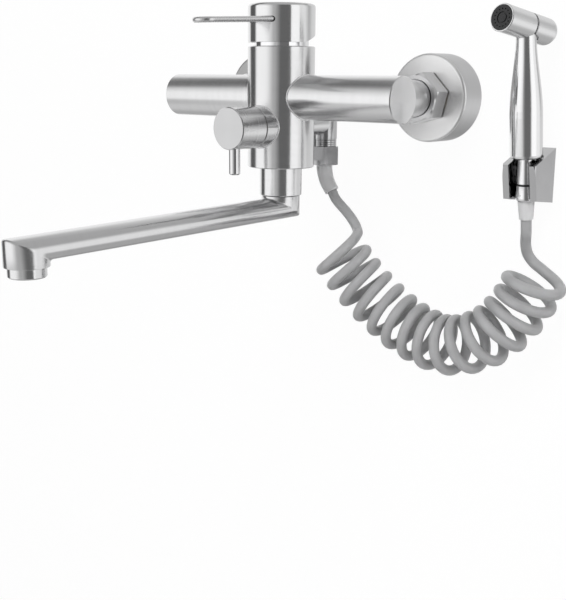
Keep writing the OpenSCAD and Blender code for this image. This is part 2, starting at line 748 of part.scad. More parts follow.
// Spout
module spout_collar() {
  color("silver") at_column(collar_z) rotate_extrude() polygon([
    [spout_neck_r + 0.1, 0], [collar_d / 2 - 0.4, 0], [collar_d / 2, 0.4],
    [collar_d / 2, collar_len], [nose_r + run_gap, collar_len],
    [nose_r + run_gap, collar_lip], [spout_neck_r + 0.1, collar_lip]]);
}
function spout_ring(r, y, z, slope) =
  [for (k = [0:oval_sides - 1]) let (a = 360 * k / oval_sides)
    [r * cos(a), y + r * sin(a), z - slope * r * sin(a)]];
module bent_form(r, top, low) {
  // Two upright legs joined by the oval tube: a round ring at each end and one on each mitre
  n = oval_sides;
  rings = concat(spout_ring(r, 0, top, 0), spout_ring(r, 0, bend_z, tan(mitre)),
    spout_ring(r, -spout_len, far_z, tan(mitre)), spout_ring(r, -spout_len, low, 0));
  walls = [for (i = [0:2]) for (k = [0:n - 1]) [i * n + k, i * n + (k + 1) % n,
    (i + 1) * n + (k + 1) % n, (i + 1) * n + k]];
  caps = [[for (k = [n - 1:-1:0]) k], [for (k = [0:n - 1]) 3 * n + k]];
  polyhedron(rings, concat(walls, caps));
}
module spout_tube() {
  neck_top = collar_z + collar_lip + 0.1;
  spigot_end = -column_foot + spigot_up - 1;
  color("silver") at_column(0) rotate([0, 0, -spout_turn]) difference() {
    union() {
      bent_form(out_r, leg_top, outlet_z);
      translate([0, 0, leg_top - 1]) cylinder(r = spout_neck_r, h = neck_top - leg_top + 1);
      translate([0, 0, neck_top - 1]) cylinder(r = clip_groove_r, h = clip_t + 3);
      translate([0, 0, neck_top + clip_t + 0.2])
        cylinder(r = spigot_d / 2, h = spigot_end - neck_top - clip_t - 0.2);
    }
    bent_form(out_r * (1 - spout_wall / oval_h), leg_top - 1, outlet_z - 1);
    translate([0, 0, leg_top - 2]) cylinder(r = spout_bore_in_r, h = 60);
    for (z = ring_heights()) translate([0, 0, z - ring_r - 0.1])
      tube(spigot_d / 2 + 1, spigot_d / 2 - 2 * ring_r - 0.05, 2 * ring_r + 0.2);
    translate([0, -spout_len, outlet_z - 1]) cylinder(r = aerator_thread_r + run_gap, h = aerator_up + 2.8);
  }
}
function ring_heights() = [for (k = [0, 1]) -column_foot + 3 + 6 * k];
module spout_rings() {
  color("dimgray") for (z = ring_heights()) at_column(z) rotate_extrude()
    translate([ring_path_r, 0]) circle(r = ring_r, $fn = 24);
}
module spout_clip() {
  color("white") at_column(collar_z + collar_lip + 0.1) difference() {
    tube(clip_r, clip_groove_r + run_gap, clip_t);
    translate([0, -clip_r - 1, -1]) cube([2.5, clip_r + 1, clip_t + 2]);
  }
}
module at_outlet(z) {
  at_column(0) rotate([0, 0, -spout_turn]) translate([0, -spout_len, z]) children();
}
module aerator_housing() {
  color("gainsboro") at_outlet(outlet_z) rotate_extrude() polygon([
    [aerator_in_r - 1, -aerator_h], [aerator_d / 2 - 0.8, -aerator_h], [aerator_d / 2, 0.8 - aerator_h],
    [aerator_d / 2, -0.2], [aerator_thread_r, -0.2], [aerator_thread_r, aerator_up],
    [aerator_in_r, aerator_up], [aerator_in_r, 1 - aerator_h], [aerator_in_r - 1, 1 - aerator_h]]);
}
module aerator_insert() {
  rows = 4;
  color("white") difference() {
    at_outlet(outlet_z + 1.1 - aerator_h) cylinder(r = aerator_in_r - run_gap, h = 5);
    for (i = [-rows:rows]) for (j = [-rows:rows])
      if (norm([i + j / 2, j * 0.866]) * jet_pitch < aerator_in_r - 2)
        at_outlet(outlet_z - aerator_h) translate([(i + j / 2) * jet_pitch, j * 0.866 * jet_pitch, 0])
          rotate([0, 0, 30]) cylinder(r = 1.2, h = 8, $fn = 6);
  }
}
module aerator_seal() {
  color("dimgray") at_outlet(outlet_z + aerator_up) tube(aerator_thread_r - 0.1, aerator_in_r, 1.6);
}

// Hand spray
function grip_radius(z) =
  z < 26 ? grip_r : neck_d / 2 + (grip_r - neck_d / 2) * (0.5 + 0.5 * cos(180 * (z - 26) / (head_up - 30)));
module grip() {
  top = head_up;
  color("gainsboro") difference() {
    spray_frame() rotate_extrude() polygon(concat([[0, 0], [grip_r - grip_edge, 0]],
      [for (a = [-60:30:0]) [grip_r - grip_edge + grip_edge * cos(a), grip_edge + grip_edge * sin(a)]],
      [for (i = [0:12]) let (z = 26 + (top - 30) * i / 12) [grip_radius(z), z]], [[neck_d / 2, top], [0, top]]));
    head_frame() translate([0, 0, head_seam]) cylinder(r = head_r, h = head_front);
    head_frame() translate([0, 0, -core_back]) cylinder(r = core_r, h = core_back + 1);
    spray_frame() translate([0, 0, spigot_deep - 1]) cylinder(r = connector_bore_r, h = top);
    spray_frame() translate([0, 0, -1]) cylinder(r = connector_spigot_r + run_gap, h = spigot_deep + 1);
  }
}
module spray_head() {
  // The nozzle's barrel and the narrower core that the thumb cap slides on
  color("silver") difference() {
    head_frame() union() {
      translate([0, 0, head_seam]) bevelled(head_r, head_front - head_seam, 0.3, 0.3);
      translate([0, 0, -core_back]) cylinder(r = core_r, h = core_back + 1);
    }
    head_frame() translate([0, 0, head_front - face_t - face_inset]) cylinder(r = face_r + run_gap, h = 10);
    head_frame() translate([0, 0, valve_seat]) cylinder(r = core_r - 1.4, h = head_front);
    head_frame() translate([0, 0, 2 - core_back]) cylinder(r = valve_r, h = head_front);
    head_frame() translate([0, 0, -core_back - 1]) cylinder(r = rod_r + run_gap, h = 6);
    spray_frame() translate([0, 0, head_up - head_r - 2]) cylinder(r = connector_bore_r, h = head_r + 2);
  }
}
module spray_face() {
  color("black") head_frame() translate([0, 0, head_front - face_t - face_inset]) difference() {
    cylinder(r = face_r, h = face_t);
    for (i = [0:jets - 1]) rotate([0, 0, 360 * i / jets]) translate([jet_ring_r, 0, -1])
      cylinder(r = jet_r, h = face_t + 2, $fn = 16);
    translate([0, 0, face_t - 0.6]) tube(3.5, 2.7, 2);
  }
}
module press_cap() {
  // A thimble that slides forward over the core, notched where the neck passes
  notch = neck_d / 2 + slip_gap + seam;
  color("silver") difference() {
    head_frame() translate([0, 0, -head_back]) rotate_extrude() polygon(concat(
      [for (a = [0:10:90]) [head_r * sin(a), cap_round * (1 - cos(a))]],
      [[head_r, head_back + head_seam - press_gap], [core_r + seam, head_back + head_seam - press_gap],
        [core_r + seam, 5.5], [core_r - 2, cap_floor], [0, cap_floor]]));
    head_frame() translate([0, 0, -press_travel]) rotate([head_rise - 90, 0, 0])
      translate([0, 0, -2 * head_r]) {
        cylinder(r = notch, h = 2 * head_r);
        translate([-notch, -2 * head_r, 0]) cube([2 * notch, 2 * head_r, 2 * head_r]);
      }
    head_frame() translate([0, 0, cap_floor - head_back - 1]) cylinder(r = rod_r + run_gap, h = 3);
  }
}
module valve_stem() {
  color("goldenrod") head_frame() {
    translate([0, 0, cap_floor - head_back - 0.8]) cylinder(r = rod_r, h = head_back - cap_floor + valve_seat + 2);
    translate([0, 0, valve_seat + 0.8]) cylinder(r = valve_r + 1, h = 2);
  }
}
module valve_seal() {
  color("dimgray") head_frame() translate([0, 0, valve_seat + 0.1]) tube(valve_r + 1, rod_r, 0.7);
}
module return_spring() {
  turns = 4;
  n = turns * 10;
  low = cap_floor - head_back + spring_r;
  high = -core_back - spring_r;
  pts = [for (i = [0:n]) [3.4 * cos(360 * i / 10), 3.4 * sin(360 * i / 10), low + (high - low) * i / n]];
  color("gray") head_frame() sweep(pts, [for (i = [0:n]) [cos(36 * i), sin(36 * i), 0]],
    [for (i = [0:n]) spring_r], 6);
}
module connector_nut() {
  color("gainsboro") spray_frame() difference() {
    union() {
      translate([0, 0, -nut_long]) rotate_extrude() polygon([[0, 0], [connector_mid_r - 0.3, 0],
        [connector_mid_r, 0.3], [connector_top_r, nut_long], [0, nut_long]]);
      cylinder(r = connector_spigot_r, h = spigot_deep - slip_gap);
    }
    translate([0, 0, -nut_long - 1]) cylinder(r = connector_bore_r, h = 60);
  }
}
module connector_ring() {
  color("black") spray_frame() translate([0, 0, -ring_low]) tube(connector_mid_r - 0.3, connector_bore_r, ring_t);
}
module connector_cone() {
  color("gainsboro") spray_frame() translate([0, 0, -cone_low]) rotate_extrude() polygon(concat(
    [[connector_bore_r, 0], [connector_foot_r - 0.9, 0], [connector_foot_r - 0.2, 0.6]],
    [for (i = [0:6]) [connector_mid_r + (connector_foot_r - connector_mid_r) * pow(1 - i / 6, 2),
      1.6 + (cone_long - 1.6) * i / 6]],
    [[connector_bore_r, cone_long]]));
}
module spray_sleeve() {
  color("darkgray") spray_frame() translate([0, 0, -hose_end]) rotate_extrude() polygon([
    [0, 0], [sleeve_end_r - 0.4, 0], [sleeve_end_r, 0.4], [sleeve_top_r, sleeve_len], [0, sleeve_len]]);
}

// Bracket: block with a conical seat, open at the front for the hose
module spray_bracket() {
  side = [[0, bracket_top], [0, bracket_top - bracket_h],
    [bracket_front_lean - bracket_depth, bracket_top - bracket_h + bracket_foot_rise],
    [-bracket_depth, bracket_top - bracket_front_drop]];
  color("silver") difference() {
    intersection() {
      translate([spray_x - bracket_w / 2, 0, 0]) rotate([90, 0, 90])
        linear_extrude(height = bracket_w) polygon(side);
      translate([spray_x, 0, bracket_top - bracket_h - 1]) linear_extrude(height = bracket_h + 2) hull() {
        translate([-bracket_w / 2, -1]) square([bracket_w, 1]);
        for (s = [-1, 1]) translate([s * (bracket_w / 2 - 2), 2 - bracket_depth]) circle(r = 2, $fn = 32);
      }
    }
    spray_frame() translate([0, 0, -2 * bracket_h]) cylinder(r = connector_foot_r + seat_gap, h = 3 * bracket_h);
    spray_frame() translate([0, 0, -seat_gap]) cylinder(r = grip_r + seat_gap, h = bracket_h);
    spray_frame() rotate([0, 0, -spray_yaw]) translate([-bracket_gap / 2, -1.5 * bracket_depth, -2 * bracket_h])
      cube([bracket_gap, 1.5 * bracket_depth, 3 * bracket_h]);
    for (s = [-1, 1]) {
      towards_room(spray_x, 1, wall_screw_z + s * wall_screw_gap / 2)
        cylinder(r = wall_screw_r + 0.15, h = 0.75 * bracket_depth);
      towards_room(spray_x, wall_screw_y + 1.6, wall_screw_z + s * wall_screw_gap / 2)
        cylinder(r = wall_screw_head_r + seat_gap, h = bracket_depth / 2);
    }
  }
}
module bracket_screws() {
  color("gray") for (s = [-1, 1]) translate([spray_x, 0, wall_screw_z + s * wall_screw_gap / 2]) difference() {
    union() {
      translate([0, wall_screw_y, 0]) rotate([-90, 0, 0]) cylinder(r = wall_screw_r - 0.3, h = 2 - wall_screw_y);
      translate([0, undercut, 0]) rotate([-90, 0, 0]) bevelled(wall_screw_r, wall_screw_len - undercut, 0.3, 1.6);
      translate([0, wall_screw_y + 1.5, 0]) rotate([90, 0, 0])
        bevelled(wall_screw_head_r, 1.9, 0, 0.5);
    }
    translate([0, wall_screw_y + 0.6, 0]) rotate([90, 0, 0]) for (a = [0, 90]) rotate([0, 0, a])
      translate([-2, -0.4, 0]) cube([4, 0.8, 2]);
  }
}

mixer_body();
base_seals();
cartridge_base();
fixed_disc();
cartridge_housing();
cartridge_nut();
dome_ring();
stem_carrier();
stem_pin();
moving_disc();
cartridge_stem();
handle_cap();
handle_lever();
handle_screw();
wall_unions();
inlet_washers();
union_nut_left();
union_nut_right();
flange_left();
flange_right();
diverter_bush();
diverter_spindle();
diverter_rotor();
diverter_knob();
knob_pin();
outlet_elbow();
elbow_ring();
hose_washer();
hose_tail();
hose_nut();
hose_sleeve();
hose_lead_in();
hose_coil();
hose_lead_out();
spout_collar();
spout_tube();
spout_rings();
spout_clip();
aerator_housing();
aerator_insert();
aerator_seal();
grip();
spray_head();
spray_face();
press_cap();
valve_stem();
valve_seal();
return_spring();
connector_nut();
connector_ring();
connector_cone();
spray_sleeve();
spray_bracket();
bracket_screws();
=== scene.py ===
import math

import bmesh
import bpy
from mathutils import Matrix, Vector


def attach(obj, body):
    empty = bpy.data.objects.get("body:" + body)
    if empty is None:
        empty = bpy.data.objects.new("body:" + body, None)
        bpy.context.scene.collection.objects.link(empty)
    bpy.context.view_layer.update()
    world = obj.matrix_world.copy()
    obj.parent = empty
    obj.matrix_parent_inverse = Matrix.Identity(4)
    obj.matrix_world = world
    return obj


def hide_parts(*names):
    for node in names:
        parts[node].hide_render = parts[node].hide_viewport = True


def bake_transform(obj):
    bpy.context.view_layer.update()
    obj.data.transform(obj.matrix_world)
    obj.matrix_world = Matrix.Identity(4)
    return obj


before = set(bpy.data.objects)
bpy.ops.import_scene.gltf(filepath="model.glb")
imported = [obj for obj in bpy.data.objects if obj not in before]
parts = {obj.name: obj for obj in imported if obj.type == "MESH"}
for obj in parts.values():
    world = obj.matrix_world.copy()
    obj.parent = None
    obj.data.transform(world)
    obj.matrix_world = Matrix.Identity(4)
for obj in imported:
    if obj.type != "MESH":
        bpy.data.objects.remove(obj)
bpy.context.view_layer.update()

# Camera
# It stands to the right of the tap, a little above the arms, and looks left and down at it
# through a lens somewhat longer than normal.
MM = 0.001
eye = Vector((434.08, -585.93, 14.49)) * MM
look_left = math.radians(40.57)
look_down = math.radians(12.98)
tilt = math.radians(0.39)
focal_pixels = 977.61
picture_height = 600
ahead = Vector((-math.sin(look_left) * math.cos(look_down),
                math.cos(look_left) * math.cos(look_down), -math.sin(look_down)))
level = Vector((math.cos(look_left), math.sin(look_left), 0))
upward = level.cross(ahead)
right = math.cos(tilt) * level + math.sin(tilt) * upward
top = math.cos(tilt) * upward - math.sin(tilt) * level
camera = bpy.data.objects.new("camera", bpy.data.cameras.new("camera"))
camera.data.sensor_width = 36
camera.data.lens = camera.data.sensor_width * focal_pixels / picture_height
camera.data.clip_start = 0.01
camera.matrix_world = Matrix.Translation(eye) @ Matrix((right, top, -ahead)).transposed().to_4x4()
bpy.context.scene.collection.objects.link(camera)
bpy.context.scene.camera = camera

# Hose
# Grey polyurethane tube wound into a springy coil. It leaves the nut under the rear outlet,
# hangs in a sag of fifteen curls and comes up into the sleeve under the hand spray.
hose_d = 7
hose_sides = 20
curl_radius = 17
curls = 15.16
curl_start = math.radians(-62)
curls_from = 0.008
curls_to = 0.983
tube_end = 2
steps_per_curl = 36
sleeve_points = [(0, -34.6, -46.2), (0.4, -34.6, -52), (2.4, -34.4, -59), (6.8, -33.9, -66.2)]
lead_in_mid = [(17.7, -31.5, -79.7), (21.4, -30.3, -84.2), (25.3, -30.6, -88.4), (28.8, -32.6, -91.6)]
lead_out_mid = [(150, -3.2, -103.7), (146.1, -4.4, -98.3), (145.8, -7.4, -91.2), (147.3, -10.7, -83.7)]
axis_points = [(22.5, -49, -103.5), (37.5, -42, -125), (58, -36.5, -144), (82.5, -34.5, -157),
               (109.5, -34, -161), (136, -31.5, -150), (152.5, -24.5, -130), (163.5, -21.5, -106)]
spray_foot = Vector((147.4, -17.4, -35.4))
spray_lean = math.radians(7.7)
sleeve_top = 26.6
sleeve_low = 39.7
sleeve_run_steps = 12
lead_steps = 40


def along(points, share):
    """A point on the smooth curve through the given points; share runs from 0 to 1."""
    last = len(points) - 1
    place = min(max(share, 0), 1) * last
    i = min(int(place), last - 1)
    u = place - i
    b, c = Vector(points[i]), Vector(points[i + 1])
    a = Vector(points[i - 1]) if i else 2 * b - c
    d = Vector(points[i + 2]) if i + 2 <= last else 2 * c - b
    return 0.5 * (2 * b + (c - a) * u + (2 * a - 5 * b + 4 * c - d) * u * u
                  + (3 * b - a - 3 * c + d) * u ** 3)


def curl_point(share):
    """A point of the helix round the sagging axis."""
    held = min(max(share, 0.005), 0.995)
    heading = (along(axis_points, held + 0.004) - along(axis_points, held - 0.004)).normalized()
    up = Vector((0, -1, 0)).cross(heading).normalized()
    out = heading.cross(up).normalized()
    turn = curl_start + math.tau * curls * share
    return along(axis_points, share) + curl_radius * (math.cos(turn) * up + math.sin(turn) * out)


def curl_heading(share):
    """The direction in which the helix runs at a share of its length."""
    return (curl_point(share + 0.0005) - curl_point(share - 0.0005)).normalized()


def spray_point(height):
    """A point on the hand spray's axis, given as a height above the grip's lower end."""
    return spray_foot + height * Vector((0, -math.sin(spray_lean), math.cos(spray_lean)))


def smooth_run(points, steps):
    """The smooth curve through the points, as a list of steps + 1 points."""
    return [along(points, i / steps) for i in range(steps + 1)]


first = curl_point(curls_from) - hose_d * curl_heading(curls_from)
last = curl_point(curls_to) + hose_d * curl_heading(curls_to)
sleeve_end = Vector(sleeve_points[3])
sleeve_heading = (sleeve_end - Vector(sleeve_points[2])).normalized()
lead_in = [sleeve_end, sleeve_end + hose_d * sleeve_heading, *lead_in_mid,
           first - tube_end * curl_heading(curls_from), first]
lead_out = [last, last + tube_end * curl_heading(curls_to), *lead_out_mid,
            spray_point(-sleeve_low - tube_end), spray_point(-sleeve_low)]
curl_steps = round(curls * steps_per_curl)
helix = [curl_point(curls_from + (curls_to - curls_from) * i / curl_steps) for i in range(curl_steps + 1)]
route = smooth_run(sleeve_points, sleeve_run_steps)[:-1] + smooth_run(lead_in, lead_steps) + helix
route += smooth_run(lead_out, lead_steps) + [spray_point(-sleeve_top)]
route = [point * MM for point in route]


def link(tree, output, target):
    tree.links.new(output, target)


def new_piece(name, mesh, material, body):
    """Links a finished mesh as a piece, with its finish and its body."""
    piece = bpy.data.objects.new(name, mesh)
    bpy.context.scene.collection.objects.link(piece)
    mesh.materials.clear()
    mesh.materials.append(material)
    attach(piece, body)
    return piece


def new_material(name, colour, metallic, roughness):
    """A material with a Principled shader, its node tree and the piece's own coordinates."""
    material = bpy.data.materials.new(name)
    material.use_nodes = True
    tree = material.node_tree
    shader = tree.nodes["Principled BSDF"]
    shader.inputs["Base Color"].default_value = (*colour, 1)
    shader.inputs["Metallic"].default_value = metallic
    shader.inputs["Roughness"].default_value = roughness
    place = tree.nodes.new("ShaderNodeTexCoord").outputs["Object"]
    return material, tree, shader, place


def noise(tree, place, scale, detail=3):
    """Noise on the given coordinates; scale is one number or one for each direction, per metre."""
    stretch = tree.nodes.new("ShaderNodeVectorMath")
    stretch.operation = "MULTIPLY"
    stretch.inputs[1].default_value = scale if isinstance(scale, tuple) else (scale, scale, scale)
    link(tree, place, stretch.inputs[0])
    texture = tree.nodes.new("ShaderNodeTexNoise")
    texture.inputs["Scale"].default_value = 1
    texture.inputs["Detail"].default_value = detail
    link(tree, stretch.outputs[0], texture.inputs["Vector"])
    return texture.outputs["Fac"]


def spread(tree, value, low, high, span=(0.3, 0.7)):
    """Turns a noise value into a number from low to high."""
    node = tree.nodes.new("ShaderNodeMapRange")
    node.inputs["From Min"].default_value = span[0]
    node.inputs["From Max"].default_value = span[1]
    node.inputs["To Min"].default_value = low
    node.inputs["To Max"].default_value = high
    link(tree, value, node.inputs["Value"])
    return node.outputs["Result"]


def shade(tree, value, dark, light):
    """Turns a noise value into a colour between dark and light."""
    node = tree.nodes.new("ShaderNodeMix")
    node.data_type = "RGBA"
    node.inputs["A"].default_value = (*dark, 1)
    node.inputs["B"].default_value = (*light, 1)
    link(tree, spread(tree, value, 0, 1), node.inputs["Factor"])
    return node.outputs["Result"]


def bump(tree, shader, height, depth, strength=1):
    """Gives the shader a relief of the given depth, in metres."""
    node = tree.nodes.new("ShaderNodeBump")
    node.inputs["Strength"].default_value = strength
    node.inputs["Distance"].default_value = depth
    link(tree, height, node.inputs["Height"])
    link(tree, node.outputs["Normal"], shader.inputs["Normal"])


def plain_finish(name, colour, metallic, roughness, variation, relief, scale):
    """A finish with mottled colour, uneven gloss and a fine relief."""
    material, tree, shader, place = new_material(name, colour, metallic, roughness)
    dark = tuple(c * (1 - variation) for c in colour)
    light = tuple(min(1, c * (1 + variation)) for c in colour)
    link(tree, shade(tree, noise(tree, place, scale, 4), dark, light), shader.inputs["Base Color"])
    link(tree, spread(tree, noise(tree, place, scale * 3), roughness * 0.8, roughness * 1.25),
         shader.inputs["Roughness"])
    bump(tree, shader, noise(tree, place, scale * 6, 2), relief, 0.4)
    return material


hose_grey, tree, shader, place = new_material("hose_grey", (0.335, 0.335, 0.34), 0, 0.36)
link(tree, shade(tree, noise(tree, place, 90, 4), (0.325, 0.325, 0.33), (0.37, 0.37, 0.375)),
     shader.inputs["Base Color"])
link(tree, spread(tree, noise(tree, place, 260), 0.3, 0.42), shader.inputs["Roughness"])
bump(tree, shader, noise(tree, place, 700, 2), 0.00004, 0.35)


def tube_tree(material):
    """Geometry Nodes that sweep a circle along the input curve."""
    tree = bpy.data.node_groups.new("tube along a route", "GeometryNodeTree")
    tree.interface.new_socket("Geometry", in_out="INPUT", socket_type="NodeSocketGeometry")
    radius = tree.interface.new_socket("Radius", in_out="INPUT", socket_type="NodeSocketFloat")
    sides = tree.interface.new_socket("Sides", in_out="INPUT", socket_type="NodeSocketInt")
    tree.interface.new_socket("Geometry", in_out="OUTPUT", socket_type="NodeSocketGeometry")
    start = tree.nodes.new("NodeGroupInput")
    circle = tree.nodes.new("GeometryNodeCurvePrimitiveCircle")
    sweep = tree.nodes.new("GeometryNodeCurveToMesh")
    sweep.inputs["Fill Caps"].default_value = True
    smooth = tree.nodes.new("GeometryNodeSetShadeSmooth")
    real = tree.nodes.new("GeometryNodeRealizeInstances")
    paint = tree.nodes.new("GeometryNodeSetMaterial")
    paint.inputs["Material"].default_value = material
    end = tree.nodes.new("NodeGroupOutput")
    link(tree, start.outputs["Radius"], circle.inputs["Radius"])
    link(tree, start.outputs["Sides"], circle.inputs["Resolution"])
    link(tree, start.outputs["Geometry"], sweep.inputs["Curve"])
    link(tree, circle.outputs["Curve"], sweep.inputs["Profile Curve"])
    link(tree, sweep.outputs["Mesh"], smooth.inputs["Geometry"])
    link(tree, smooth.outputs["Geometry"], real.inputs["Geometry"])
    link(tree, real.outputs["Geometry"], paint.inputs["Geometry"])
    link(tree, paint.outputs["Geometry"], end.inputs["Geometry"])
    return tree, radius.identifier, sides.identifier


def plain_mesh(maker, name):
    """The mesh that an object's modifiers make, with the maker object removed."""
    ready = maker.evaluated_get(bpy.context.evaluated_depsgraph_get())
    mesh = bpy.data.meshes.new_from_object(ready)
    mesh.name = name
    bpy.data.objects.remove(maker)
    return mesh


def tube_mesh(name, points, radius, sides, material, closed=False):
    """The mesh of a tube along the points; points and radius are in metres."""
    line = bpy.data.curves.new(name, "CURVE")
    line.dimensions = "3D"
    strand = line.splines.new("POLY")
    strand.points.add(len(points) - 1)
    for point, target in zip(points, strand.points):
        target.co = (*point, 1)
    strand.use_cyclic_u = closed
    maker = bpy.data.objects.new(name, line)
    bpy.context.scene.collection.objects.link(maker)
    tree, radius_id, sides_id = tube_tree(material)
    sweep = maker.modifiers.new("tube", "NODES")
    sweep.node_group = tree
    sweep[radius_id] = radius
    sweep[sides_id] = sides
    return plain_mesh(maker, name)


hose_mesh = tube_mesh("curly_hose", route, hose_d / 2 * MM, hose_sides, hose_grey)
hose = bpy.data.objects.new("curly_hose", hose_mesh)
bpy.context.scene.collection.objects.link(hose)
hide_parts("hose_lead_in", "hose_coil", "hose_lead_out")
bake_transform(hose)


# Hose sleeves and hose nut
# Paler grey plastic, made lighter still with painted light against the shade under the arm: a tapered
# sleeve pushed over the hose below the nut, and one under the hand spray. The nut hides the hose's tail and
# washer.
sleeve_r = 5.8
sleeve_taper = 0.75
sleeve_steps = 24
sleeve_sides = 40


def swept_rings(path, radii, sides):
    """A closed tube through the path's points, with one ring at each point."""
    form = bmesh.new()
    side = Vector((0, 1, 0))
    rings = []
    for i, (point, radius) in enumerate(zip(path, radii)):
        heading = (path[min(i + 1, len(path) - 1)] - path[max(i - 1, 0)]).normalized()
        u = (side - side.dot(heading) * heading).normalized()
        v = heading.cross(u)
        rings.append([form.verts.new(point + radius * (math.cos(math.tau * k / sides) * u
                                                       + math.sin(math.tau * k / sides) * v))
                      for k in range(sides)])
    for a, b in zip(rings, rings[1:]):
        for k in range(sides):
            form.faces.new((a[k], a[(k + 1) % sides], b[(k + 1) % sides], b[k]))
    form.faces.new(list(reversed(rings[0])))
    form.faces.new(rings[-1])
    return form


def finished_mesh(form, name, sharp_degrees=40):
    """Turns a bmesh into a mesh with smooth faces and sharp creases."""
    bmesh.ops.recalc_face_normals(form, faces=form.faces)
    for face in form.faces:
        face.smooth = True
    for edge in form.edges:
        crease = len(edge.link_faces) == 2 and edge.calc_face_angle(0) > math.radians(sharp_degrees)
        edge.smooth = not crease
    mesh = bpy.data.meshes.new(name)
    form.to_mesh(mesh)
    form.free()
    return mesh


sleeve_path = [along(sleeve_points, i / sleeve_steps) * MM for i in range(sleeve_steps + 1)]
sleeve_radii = [(sleeve_r - sleeve_taper * i / sleeve_steps) * MM for i in range(sleeve_steps + 1)]
lip = 0.35 * MM
sleeve_path = sleeve_path[:-1] + [sleeve_path[-1] - lip * sleeve_heading, sleeve_path[-1]]
sleeve_radii = sleeve_radii[:-1] + [sleeve_radii[-1], sleeve_radii[-1] - lip]
sleeve_mesh = finished_mesh(swept_rings(sleeve_path, sleeve_radii, sleeve_sides), "sleeve")
# The sleeve colour is partly the paler plastic and partly painted light, lifted to make up for the shade
# the sleeves sit in.
sleeve_grey_and_painted_light, tree, shader, place = new_material("sleeve_grey_and_painted_light", (0.6, 0.6, 0.605), 0, 0.4)
link(tree, shade(tree, noise(tree, place, 90, 4), (0.58, 0.58, 0.585), (0.62, 0.62, 0.625)),
     shader.inputs["Base Color"])
bump(tree, shader, noise(tree, place, 700, 2), 0.00004, 0.35)
sleeve = new_piece("hose_sleeve_lower", sleeve_mesh, sleeve_grey_and_painted_light, "root")
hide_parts("hose_sleeve")


def dress(material, *names):
    """Gives CAD nodes a finish."""
    for name in names:
        mesh = parts[name].data
        mesh.materials.clear()
        mesh.materials.append(material)


dress(sleeve_grey_and_painted_light, "spray_sleeve")


# Brushed steel
# Sheet and turned parts are stainless steel, brushed round their axes with a fine belt, so that
# reflections run along each tube. The grain is fine and faint.
steel_grey = (0.72, 0.72, 0.725)
arms_y = -0.0822
knob_z = -0.019
column_r = 0.02225
inlet_x = 75
beside_arm = 0.0144
boss_overlap = 0.002
arm_end = 0.0969


def steel(name, colour, roughness, grain, axis=(0, 0, 1), centre=(0, 0, 0), brush=0.55):
    """Brushed steel: axis and centre are one vector each, or sockets that work them out."""
    material, tree, shader, place = new_material(name, colour, 1, roughness)

    def vector(operation, a, b=None):
        node = tree.nodes.new("ShaderNodeVectorMath")
        node.operation = operation
        for socket, value in zip(node.inputs, (a, b)):
            if isinstance(value, tuple):
                socket.default_value = value
            elif value is not None:
                link(tree, value, socket)
        return node.outputs["Value" if operation == "DOT_PRODUCT" else "Vector"]

    if callable(axis):
        axis, centre = axis(tree, place)
    offset = vector("SUBTRACT", place, centre)
    round_it = vector("CROSS_PRODUCT", axis, offset)
    normal = tree.nodes.new("ShaderNodeNewGeometry").outputs["Normal"]
    across = vector("NORMALIZE", vector("CROSS_PRODUCT", normal, round_it))
    link(tree, across, shader.inputs["Tangent"])
    shader.inputs["Anisotropic"].default_value = brush
    fine, coarse = 1500, 45
    broad_along, broad_across = 260, 18
    reach = vector("DOT_PRODUCT", axis, offset)
    along_axis = vector("MULTIPLY", axis, reach)
    lines = vector("ADD", vector("MULTIPLY", offset, (coarse,) * 3),
                   vector("MULTIPLY", along_axis, (fine - coarse,) * 3))
    streaks = noise(tree, lines, 1, 4)
    bands = vector("ADD", vector("MULTIPLY", offset, (broad_across,) * 3),
                   vector("MULTIPLY", along_axis, (broad_along,) * 3))
    broad = noise(tree, bands, 1, 2)
    mix = tree.nodes.new("ShaderNodeMath")
    mix.operation = "MULTIPLY_ADD"
    link(tree, broad, mix.inputs[0])
    mix.inputs[1].default_value = 0.5
    half = tree.nodes.new("ShaderNodeMath")
    half.operation = "MULTIPLY"
    half.inputs[1].default_value = 0.5
    link(tree, streaks, half.inputs[0])
    link(tree, half.outputs[0], mix.inputs[2])
    dark = tuple(c * (1 - grain) for c in colour)
    light = tuple(min(1, c * (1 + grain * 0.7)) for c in colour)
    link(tree, shade(tree, mix.outputs[0], dark, light), shader.inputs["Base Color"])
    link(tree, spread(tree, streaks, roughness * 0.94, roughness * 1.06), shader.inputs["Roughness"])
    bump(tree, shader, streaks, 0.000004, 0.25)
    return material


def face_finish(material, direction, limit, colour):
    """Gives faces farther out than a limit along X (0) or Y (1) their own tone."""
    tree = material.node_tree
    shader = tree.nodes["Principled BSDF"]
    split = tree.nodes.new("ShaderNodeSeparateXYZ")
    link(tree, tree.nodes["Texture Coordinate"].outputs["Object"], split.inputs[0])
    size = tree.nodes.new("ShaderNodeMath")
    size.operation = "ABSOLUTE"
    link(tree, split.outputs[direction], size.inputs[0])
    past = tree.nodes.new("ShaderNodeMath")
    past.operation = "GREATER_THAN"
    past.inputs[1].default_value = limit
    link(tree, size.outputs[0], past.inputs[0])
    paint = tree.nodes.new("ShaderNodeMix")
    paint.data_type = "RGBA"
    paint.inputs["B"].default_value = (*colour, 1)
    link(tree, past.outputs[0], paint.inputs["Factor"])
    link(tree, shader.inputs["Base Color"].links[0].from_socket, paint.inputs["A"])
    link(tree, paint.outputs["Result"], shader.inputs["Base Color"])


